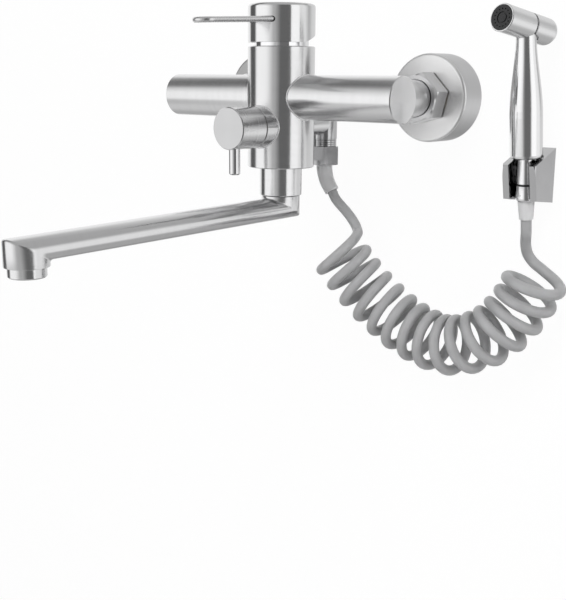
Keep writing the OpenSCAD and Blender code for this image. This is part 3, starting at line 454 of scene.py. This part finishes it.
def body_axes(tree, place):
    """The casting's axis at each point: Z on the column, X on the arms, Y on the boss and stubs."""
    split = tree.nodes.new("ShaderNodeSeparateXYZ")
    link(tree, place, split.inputs[0])

    def number(operation, a, b=0.0):
        node = tree.nodes.new("ShaderNodeMath")
        node.operation = operation
        for socket, value in zip(node.inputs, (a, b)):
            if isinstance(value, (int, float)):
                socket.default_value = value
            else:
                link(tree, value, socket)
        return node.outputs[0]

    x, y = split.outputs[0], split.outputs[1]
    beside = number("GREATER_THAN", number("ABSOLUTE", x), column_r)
    behind = number("GREATER_THAN", y, arms_y + beside_arm)
    arm = number("MULTIPLY", beside, number("SUBTRACT", 1.0, behind))
    stub = number("MULTIPLY", beside, behind)
    boss = number("LESS_THAN", y, arms_y - column_r + boss_overlap)
    along_y = number("ADD", stub, boss)
    along_z = number("SUBTRACT", number("SUBTRACT", 1.0, arm), along_y)
    axis = tree.nodes.new("ShaderNodeCombineXYZ")
    link(tree, arm, axis.inputs[0])
    link(tree, along_y, axis.inputs[1])
    link(tree, along_z, axis.inputs[2])
    centre = tree.nodes.new("ShaderNodeCombineXYZ")
    side_x = number("MULTIPLY", number("SIGN", x), inlet_x * MM)
    link(tree, number("MULTIPLY", side_x, stub), centre.inputs[0])
    link(tree, number("MULTIPLY", number("SUBTRACT", 1.0, along_y), arms_y), centre.inputs[1])
    link(tree, number("MULTIPLY", boss, knob_z), centre.inputs[2])
    return axis.outputs[0], centre.outputs[0]


body_steel = steel("brushed_body", steel_grey, 0.2, 0.035, axis=body_axes)
face_finish(body_steel, 0, arm_end, (0.9, 0.9, 0.905))
dress(body_steel, "mixer_body")
column_steel = steel("brushed_collar", steel_grey, 0.2, 0.03, centre=(0, arms_y, 0))
dress(column_steel, "spout_collar")


# Welds
# The arms and the front boss are joined to the column by welds, ground to a thin bright bead that
# runs round each joint.
weld_r = 0.55
weld_steps = 120
weld_sides = 10
arm_r = 14.35
boss_r = 13.45
weld_steel = plain_finish("ground_weld", (0.95, 0.95, 0.955), 1, 0.45, 0.02, 0.000004, 300)


def seam_point(turn, radius, side):
    """A point where an arm (side 1 or -1) or the boss (side 0) meets the column."""
    across = radius * MM * math.cos(turn)
    up = radius * MM * math.sin(turn)
    out = math.sqrt(column_r ** 2 - across ** 2)
    if side:
        return side * out, arms_y + across, up
    return across, arms_y - out, knob_z + up


for name, radius, side in (("weld_left", arm_r, -1), ("weld_right", arm_r, 1), ("weld_boss", boss_r, 0)):
    seam = [seam_point(math.tau * k / weld_steps, radius, side) for k in range(weld_steps)]
    bead = tube_mesh(name, seam, weld_r * MM, weld_sides, weld_steel, closed=True)
    new_piece(name, bead, weld_steel, "root")


# Wall fittings
# Each inlet has a flange pressed from sheet, brushed like the body, over a brass union with a
# black washer. The union nut is brushed steel, with its corners turned off.
nut_flats = 30
nut_front = -35.2
nut_back = -22.3
nut_chamfer = 1.9
nut_hole = 12.3
nut_corner = 15
nut_front_r = nut_flats / 2 - 0.3
cone_slope = 1.9
side_slope = 0.2
flange_face = 0.0196


def nut_point(x, y, radius, turn):
    """A point at a radius and a turn round the inlet at x, all in millimetres."""
    return (x + radius * math.cos(turn)) * MM, y * MM, radius * math.sin(turn) * MM


def hexagon_nut(x):
    """A nut round the inlet at x, with its front corners turned off to a cone."""
    form = bmesh.new()
    turns, steps = 120, 16
    rings = []
    for i in range(steps + 1):
        y = nut_front + (nut_back - nut_front) * i / steps
        depth = y - nut_front
        cone = nut_front_r + cone_slope * min(depth, nut_chamfer) + side_slope * depth
        ring = []
        for k in range(turns):
            turn = math.tau * k / turns
            off_flat = ((math.degrees(turn) - nut_corner) % 60) - 30
            reach = min(nut_flats / 2 / math.cos(math.radians(off_flat)), cone)
            ring.append(form.verts.new(nut_point(x, y, reach, turn)))
        rings.append(ring)
    for y in (nut_back, nut_front):
        rings.append([form.verts.new(nut_point(x, y, nut_hole, math.tau * k / turns))
                      for k in range(turns)])
    for a, b in zip(rings, rings[1:] + rings[:1]):
        for k in range(turns):
            form.faces.new((a[k], a[(k + 1) % turns], b[(k + 1) % turns], b[k]))
    return finished_mesh(form, "union_nut", 25)


# The front face of each flange gets a painted tone: painted shade on the left flange and a painted
# highlight on the right one.
for side, name, tone in ((-1, "left", 0.4), (1, "right", 0.92)):
    inlet = (side * inlet_x * MM, 0, 0)
    flange_steel = steel(f"brushed_flange_{name}", (0.64, 0.64, 0.645), 0.36, 0.03, (0, 1, 0), inlet, 0.15)
    face_finish(flange_steel, 1, flange_face, (tone, tone, tone))
    dress(flange_steel, f"flange_{name}")
    nut_steel = steel(f"satin_nut_{name}", (0.85, 0.85, 0.855), 0.34, 0.03, (0, 1, 0), inlet, 0.3)
    nut = new_piece(f"hexagon_nut_{name}", hexagon_nut(side * inlet_x), nut_steel, "root")
    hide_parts(f"union_nut_{name}")


brass = plain_finish("turned_brass", (0.72, 0.52, 0.24), 1, 0.3, 0.08, 0.00001, 200)
rubber = plain_finish("black_rubber", (0.03, 0.03, 0.032), 0, 0.6, 0.2, 0.00003, 300)
dress(brass, "wall_unions")
dress(rubber, "inlet_washers")


# Cartridge
# Grey moulded plastic body with white ceramic discs, rubber seals and an acetal carrier. The
# nut that holds it and the domed ring above are bright, and show in the gap under the handle.
dark_plastic = plain_finish("grey_moulding", (0.08, 0.08, 0.085), 0, 0.45, 0.1, 0.00002, 250)
acetal = plain_finish("white_acetal", (0.75, 0.74, 0.7), 0, 0.4, 0.03, 0.00002, 250)
ceramic = plain_finish("ceramic", (0.85, 0.85, 0.83), 0, 0.15, 0.02, 0.000005, 400)
chrome = plain_finish("chrome", (0.82, 0.82, 0.83), 1, 0.055, 0.015, 0.000004, 60)
dress(dark_plastic, "cartridge_base", "cartridge_housing")
dress(ceramic, "fixed_disc", "moving_disc", "diverter_rotor")
dress(acetal, "stem_carrier", "spout_clip")
dress(rubber, "base_seals", "elbow_ring", "spout_rings", "aerator_seal", "hose_washer", "valve_seal")
dress(chrome, "cartridge_nut", "dome_ring", "stem_pin")
dress(brass, "cartridge_stem", "hose_tail", "valve_stem", "diverter_bush", "diverter_spindle")


# Handle
# A turned cap, finer brushed than the body, cut on a slant at the back so that it can tilt.
# The lever is a flat bar with round edges and a round tip, pushed into a slot in the cap.
cap_steel = steel("fine_brushed_cap", (0.74, 0.74, 0.745), 0.16, 0.02, centre=(0, arms_y, 0), brush=0.6)
dress(cap_steel, "handle_cap")
dress(chrome, "handle_screw")
lever_root_w = 22
lever_tip_w = 16.5
lever_t = 3.4
lever_reach = 78.3
lever_z = 49
lever_root_y = -8.6
lever_droop = 2.9
edge_steps = 8
tip_steps = 40
half_t = lever_t / 2
tip_y = -(lever_reach - lever_tip_w / 2)
form = bmesh.new()
layers = []
for i in range(edge_steps + 1):
    lean = math.pi * (i / edge_steps - 0.5)
    reach = half_t * math.cos(lean)
    height = lever_z + half_t * math.sin(lean)
    tip_r = lever_tip_w / 2 - half_t + reach
    root_x = lever_root_w / 2 - half_t + reach
    outline = [(-root_x, lever_root_y)]
    for k in range(tip_steps + 1):
        turn = math.pi * k / tip_steps
        outline.append((-tip_r * math.cos(turn), tip_y - tip_r * math.sin(turn)))
    outline += [(root_x, lever_root_y)]
    layers.append([form.verts.new((x * MM, arms_y + y * MM, height * MM)) for x, y in outline])
for low, high in zip(layers, layers[1:]):
    for k in range(len(low)):
        n = (k + 1) % len(low)
        form.faces.new((low[k], low[n], high[n], high[k]))
form.faces.new(layers[0])
form.faces.new(list(reversed(layers[-1])))
slot_mouth = Vector((0, arms_y - column_r, lever_z * MM))
droop = (Matrix.Translation(slot_mouth) @ Matrix.Rotation(math.radians(lever_droop), 4, "X")
         @ Matrix.Translation(-slot_mouth))
bmesh.ops.transform(form, matrix=droop, verts=form.verts)
lever_line = (0, arms_y, lever_z * MM)
lever_steel = steel("satin_lever", steel_grey, 0.28, 0.02, (0, 1, 0), lever_line, 0)
lever = new_piece("lever_bar", finished_mesh(form, "lever_bar", 60), lever_steel, "handle")
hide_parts("handle_lever")


# Diverter
# A round knob on the front boss, brushed like the body with a plain front face, and turned by
# a short steel pin that is screwed into its underside.
boss_axis = (0, 0, knob_z)
knob_face = 0.1333
pin_line = (0, -0.1276, 0)
knob_steel = steel("brushed_knob", (0.8, 0.8, 0.805), 0.26, 0.04, (0, 1, 0), boss_axis, 0.4)
face_finish(knob_steel, 1, knob_face, (0.57, 0.57, 0.575))
dress(knob_steel, "diverter_knob")
pin_steel = steel("bright_pin", steel_grey, 0.1, 0.03, (0, 0, 1), pin_line, 0.3)
dress(pin_steel, "knob_pin")


# Spout
# Oval steel tube mitred and welded onto two upright legs; the inner leg turns in the collar,
# and the outer one holds the aerator. The welds are ground to a narrow soft edge.
spout_w = 26
spout_h = 14.8
spout_length = 193.8
spout_fall = math.radians(1.9)
spout_turn = math.radians(-5.5)
leg_top = -65.2
leg_joint = -64.9
leg_straight = 2.1
inner_slope = math.radians(28)
outlet_edge = 1.9
hollow_share = 0.86
hollow_depth = 7
neck_r = 10.05
neck_depth = 3.2
half_w = spout_w / 2
half_h = spout_h / 2
bend_z = leg_joint - half_w * math.tan(inner_slope) - leg_straight
bend = math.pi / 2 - spout_fall
mitre = math.atan((half_h / half_w - math.cos(bend)) / math.sin(bend))
far_z = bend_z - spout_length * math.tan(spout_fall)
outlet_z = far_z - half_h - outlet_edge
sides = 96


def spout_rings(form, radius, top_z, low_z, slope):
    """The four rings of the bent tube: leg end, inner mitre, outer mitre, leg end."""
    rings = []
    stations = ((0, top_z, 0), (0, bend_z, slope), (-spout_length, far_z, slope), (-spout_length, low_z, 0))
    for y, z, tip in stations:
        rings.append([form.verts.new((radius * math.cos(math.tau * k / sides),
                                      y + radius * math.sin(math.tau * k / sides),
                                      z - tip * radius * math.sin(math.tau * k / sides)))
                      for k in range(sides)])
    return rings


form = bmesh.new()
outer = spout_rings(form, half_w, leg_top, outlet_z, math.tan(mitre))
inner_low = [form.verts.new((v.co.x * hollow_share,
                             (v.co.y + spout_length) * hollow_share - spout_length, v.co.z))
             for v in outer[3]]
inner_up = [form.verts.new((v.co.x, v.co.y, v.co.z + hollow_depth)) for v in inner_low]
neck = [form.verts.new((neck_r * math.cos(math.tau * k / sides),
                        neck_r * math.sin(math.tau * k / sides), leg_top))
        for k in range(sides)]
neck_up = [form.verts.new((v.co.x, v.co.y, v.co.z + neck_depth)) for v in neck]
bands = [neck_up, neck, outer[0], outer[1], outer[2], outer[3], inner_low, inner_up]
for a, b in zip(bands, bands[1:]):
    for k in range(sides):
        form.faces.new((a[k], b[k], b[(k + 1) % sides], a[(k + 1) % sides]))
form.faces.new(neck_up)
form.faces.new(list(reversed(inner_up)))
soft_edges = []
for ring, width in ((outer[1], 0.8), (outer[2], 1.4), (outer[0], 0.3), (outer[3], 0.3)):
    soft_edges.append(([e for e in form.edges if e.verts[0] in ring and e.verts[1] in ring], width))
for edges, width in soft_edges:
    bmesh.ops.bevel(form, geom=edges, offset=width, segments=3, affect="EDGES", profile=0.5)
place_spout = Matrix.Translation((0, arms_y, 0)) @ Matrix.Rotation(spout_turn, 4, "Z") @ Matrix.Scale(MM, 4)
bmesh.ops.transform(form, matrix=place_spout, verts=form.verts)
spout_line = tuple(Matrix.Rotation(spout_turn, 3, "Z") @ Vector((0, -1, 0)))
spout_middle = (0, arms_y, bend_z * MM)
spout_steel = steel("brushed_spout", (0.71, 0.71, 0.715), 0.2, 0.03, spout_line, spout_middle, 0.45)
spout = new_piece("spout_shell", finished_mesh(form, "spout_shell", 30), spout_steel, "spout")
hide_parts("spout_tube")
dress(column_steel, "aerator_housing")
white_plastic = plain_finish("white_mesh", (0.8, 0.8, 0.78), 0, 0.4, 0.03, 0.00002, 300)
dress(white_plastic, "aerator_insert")


# Rear outlet
# A turned steel elbow with a fine thread, closed by the plated hose nut. Both get colours darker
# than the casting as painted shade, for the shade they stand in behind it and between the arms.
outlet_line = (0, -0.0346, 0)
# Painted shade: the elbow and the hose nut are given darker colours for the shade behind the casting.
shaded_elbow_steel = steel("turned_elbow_painted_shade", (0.52, 0.52, 0.525), 0.18, 0.02, (0, 0, 1), outlet_line, 0.4)
dress(shaded_elbow_steel, "outlet_elbow")
shaded_nickel = plain_finish("nickel_plate_painted_shade", (0.42, 0.42, 0.425), 1, 0.12, 0.02, 0.000004, 60)
dress(shaded_nickel, "hose_nut")


# Hand spray
# A turned grip and connector, chromed, with a satin head. The face is black plastic and the
# ring between the two connector halves is black too.
head_axis = (-0.1336, -0.9795, 0.1508)
head_middle = (0.1474, -0.0282, 0.0443)
head_steel = steel("satin_head", (0.8, 0.8, 0.805), 0.24, 0.015, head_axis, head_middle, 0.2)
dress(head_steel, "spray_head", "press_cap")
spray_axis = (0, -math.sin(spray_lean), math.cos(spray_lean))
grip_steel = steel("polished_grip", (0.8, 0.8, 0.805), 0.15, 0.01, spray_axis, tuple(spray_foot * MM), 0.5)
dress(grip_steel, "grip", "connector_nut", "connector_cone")
dress(chrome, "return_spring")
black_plastic = plain_finish("black_moulding", (0.012, 0.012, 0.013), 0, 0.3, 0.2, 0.00001, 400)
dress(black_plastic, "spray_face", "connector_ring")


# Bracket
# A cast block, chromed, with a conical seat and an open front that the hose passes through. Its
# edges are rounded here, on the form that comes from the frame.
bracket_chrome = plain_finish("bracket_chrome", (0.48, 0.48, 0.485), 1, 0.16, 0.03, 0.000006, 80)
bracket_edge = 0.7
form = bmesh.new()
form.from_mesh(parts["spray_bracket"].data)
bmesh.ops.remove_doubles(form, verts=form.verts, dist=0.00001)
bmesh.ops.dissolve_limit(form, angle_limit=math.radians(1), verts=form.verts, edges=form.edges)
maker = bpy.data.objects.new("bracket_maker", finished_mesh(form, "bracket_maker", 30))
bpy.context.scene.collection.objects.link(maker)
rounding = maker.modifiers.new("rounding", "BEVEL")
rounding.width = bracket_edge * MM
rounding.segments = 3
rounding.limit_method = "ANGLE"
rounding.angle_limit = math.radians(40)
rounding.harden_normals = True
bracket_mesh = plain_mesh(maker, "bracket_block")
bracket = new_piece("bracket_block", bracket_mesh, bracket_chrome, "root")
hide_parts("spray_bracket")
dress(chrome, "bracket_screws")


# Stage and light
# A white wall and floor, soft lamps in front and to the right, and a studio round the tap whose
# pale walls have a few dark flags, which draw the dark bands on polished steel.
soft_light = 0.17
room = 0.5
camera_glow = 0.96
studio = bpy.data.worlds.new("studio")
studio.use_nodes = True
bpy.context.scene.world = studio
tree = studio.node_tree
split = tree.nodes.new("ShaderNodeSeparateXYZ")
link(tree, tree.nodes.new("ShaderNodeTexCoord").outputs["Generated"], split.inputs[0])


def world_math(operation, a, b=None, c=None):
    """A number worked out for each direction in which the studio is seen."""
    node = tree.nodes.new("ShaderNodeMath")
    node.operation = operation
    for socket, value in zip(node.inputs, (a, b, c)):
        if isinstance(value, (int, float)):
            socket.default_value = value
        elif value is not None:
            link(tree, value, socket)
    return node.outputs[0]


def inside(angle, centre, half, soft):
    """1 within half a width of the centre and 0 beyond it, with a soft edge; all in degrees."""
    away = world_math("WRAP", world_math("SUBTRACT", angle, math.radians(centre)), math.pi, -math.pi)
    node = tree.nodes.new("ShaderNodeMapRange")
    node.interpolation_type = "SMOOTHSTEP"
    node.inputs["From Min"].default_value = math.radians(half + soft)
    node.inputs["From Max"].default_value = math.radians(half - soft)
    link(tree, world_math("ABSOLUTE", away), node.inputs["Value"])
    return node.outputs["Result"]


minus_y = world_math("MULTIPLY", split.outputs[1], -1)
bearing = world_math("SUBTRACT", world_math("ARCTAN2", split.outputs[0], minus_y), look_left)
rise = world_math("ARCSINE", split.outputs[2])
# Each card has a bearing from the view, half a width and a soft edge, then a height, half a
# height and a soft edge, all in degrees, and its brightness.
cards = {
    "floor, left": (-90, 50, 20, -34, 20, 8, 0.76),
    "floor, right": (100, 24, 10, -14, 12, 8, 0.88),
    "back right": (150, 34, 10, 16, 40, 12, 0.8),
    "back left": (-160, 30, 8, 12, 32, 12, 1.05),
    "fade, right": (68, 26, 14, 0, 34, 14, 1.0),
    "soft box, right": (44, 18, 3, 0, 30, 14, 1.22),
    "glow above it": (-76, 34, 20, 12, 20, 18, 1.1),
    "soft box, left": (-76, 34, 20, -2, 15, 5, 1.22),
    "grey wall, front left": (-14, 12, 8, 0, 40, 12, 0.52),
    "pale wall, front": (12, 12, 8, 0, 40, 12, 0.72),
    "flag, left": (-113.5, 16, 5, 8, 34, 12, 0.12),
    "flag, high left": (-124, 26, 14, 49, 9, 7, 0.16),
    "flag, high back": (130, 9, 8, 46, 6, 6, 0.26),
    "flag, low back": (165, 26, 12, -32, 9, 7, 0.34),
}
level_seen = room
for centre, half, soft, high, half_height, soft_height, shade_of_card in cards.values():
    mask = world_math("MULTIPLY", inside(bearing, centre, half, soft),
                      inside(rise, high, half_height, soft_height))
    change = world_math("MULTIPLY", world_math("SUBTRACT", shade_of_card, level_seen), mask)
    level_seen = world_math("ADD", level_seen, change)
path = tree.nodes.new("ShaderNodeLightPath")
glossy = tree.nodes.new("ShaderNodeMix")
glossy.data_type = "RGBA"
glossy.inputs["A"].default_value = (soft_light, soft_light, soft_light, 1)
link(tree, path.outputs["Is Glossy Ray"], glossy.inputs["Factor"])
link(tree, level_seen, glossy.inputs["B"])
seen = tree.nodes.new("ShaderNodeMix")
seen.data_type = "RGBA"
seen.inputs["B"].default_value = (1, 1, 1, 1)
link(tree, path.outputs["Is Camera Ray"], seen.inputs["Factor"])
link(tree, glossy.outputs["Result"], seen.inputs["A"])
link(tree, seen.outputs["Result"], tree.nodes["Background"].inputs["Color"])

backdrop = bpy.data.materials.new("white_backdrop")
backdrop.use_nodes = True
tree = backdrop.node_tree
tree.nodes.remove(tree.nodes["Principled BSDF"])
output = tree.nodes["Material Output"]
matte = tree.nodes.new("ShaderNodeBsdfDiffuse")
matte.inputs["Color"].default_value = (0.9, 0.9, 0.9, 1)
glow = tree.nodes.new("ShaderNodeEmission")
clear = tree.nodes.new("ShaderNodeBsdfTransparent")
path = tree.nodes.new("ShaderNodeLightPath")
back = tree.nodes.new("ShaderNodeNewGeometry").outputs["Backfacing"]
lit = tree.nodes.new("ShaderNodeMixShader")
lit_camera = tree.nodes.new("ShaderNodeMath")
lit_camera.operation = "MULTIPLY"
lit_camera.inputs[1].default_value = camera_glow
link(tree, path.outputs["Is Camera Ray"], lit_camera.inputs[0])
link(tree, lit_camera.outputs[0], lit.inputs[0])
link(tree, matte.outputs[0], lit.inputs[1])
link(tree, glow.outputs[0], lit.inputs[2])
through = tree.nodes.new("ShaderNodeMath")
through.operation = "MAXIMUM"
link(tree, back, through.inputs[0])
link(tree, path.outputs["Is Glossy Ray"], through.inputs[1])
cut = tree.nodes.new("ShaderNodeMixShader")
link(tree, through.outputs[0], cut.inputs[0])
link(tree, lit.outputs[0], cut.inputs[1])
link(tree, clear.outputs[0], cut.inputs[2])
link(tree, cut.outputs[0], output.inputs["Surface"])


def sheet_of(name, corners):
    """A sheet of the backdrop, which only the camera and soft light meet, and only from its front."""
    mesh = bpy.data.meshes.new(name)
    mesh.from_pydata(corners, [], [(0, 1, 2, 3)])
    mesh.materials.append(backdrop)
    card = bpy.data.objects.new(name, mesh)
    bpy.context.scene.collection.objects.link(card)


flag_place = Vector((0.392, -0.468, -0.1))
flag_width = 0.553
flag_height = 1.2
flag_dark, flag_light = 0.15, 0.54
fade_from = 0.08
cloth, tree, shader, place = new_material("flag_cloth", (0, 0, 0), 0, 1)
shader.inputs["Emission Color"].default_value = (1, 1, 1, 1)
aim = (Vector((0, arms_y, 0)) - flag_place).to_2d().normalized()
half_flag = Vector((-aim.y, aim.x, 0)) * flag_width / 2
lift = Vector((0, 0, flag_height / 2))
across = tree.nodes.new("ShaderNodeVectorMath")
across.operation = "DOT_PRODUCT"
across.inputs[1].default_value = (-aim.y, aim.x, 0)
link(tree, place, across.inputs[0])
middle = flag_place.dot(Vector((-aim.y, aim.x, 0)))
fade = (middle + fade_from, middle + flag_width / 2)
link(tree, spread(tree, across.outputs["Value"], flag_dark, flag_light, fade),
     shader.inputs["Emission Strength"])
mesh = bpy.data.meshes.new("flag")
flag_corners = [flag_place - half_flag - lift, flag_place + half_flag - lift,
                flag_place + half_flag + lift, flag_place - half_flag + lift]
mesh.from_pydata(flag_corners, [], [(0, 1, 2, 3)])
mesh.materials.append(cloth)
flag = bpy.data.objects.new("flag", mesh)
bpy.context.scene.collection.objects.link(flag)
flag.visible_camera = False
flag.visible_diffuse = False
flag.visible_shadow = False

wall_y = 0.0004
floor_z = -0.6
front_y = -4
far = 3
sheet_of("wall", [(-far, wall_y, floor_z), (far, wall_y, floor_z), (far, wall_y, far), (-far, wall_y, far)])
sheet_of("floor", [(-far, front_y, floor_z), (far, front_y, floor_z), (far, wall_y, floor_z),
                   (-far, wall_y, floor_z)])


def lamp(name, place, size, power):
    """A square soft lamp that faces the tap and shows in no reflection."""
    light = bpy.data.lights.new(name, "AREA")
    light.shape = "SQUARE"
    light.size = size
    light.energy = power
    holder = bpy.data.objects.new(name, light)
    holder.location = place
    aim = Vector((0.03, -0.08, -0.06)) - Vector(place)
    holder.rotation_euler = aim.to_track_quat("-Z", "Y").to_euler()
    holder.visible_glossy = False
    bpy.context.scene.collection.objects.link(holder)


lamp("key", (0.1, -1.3, 0.9), 0.8, 19)
lamp("fill", (1.3, -0.7, 0.3), 0.8, 6)

bpy.context.scene.view_settings.view_transform = "Standard"
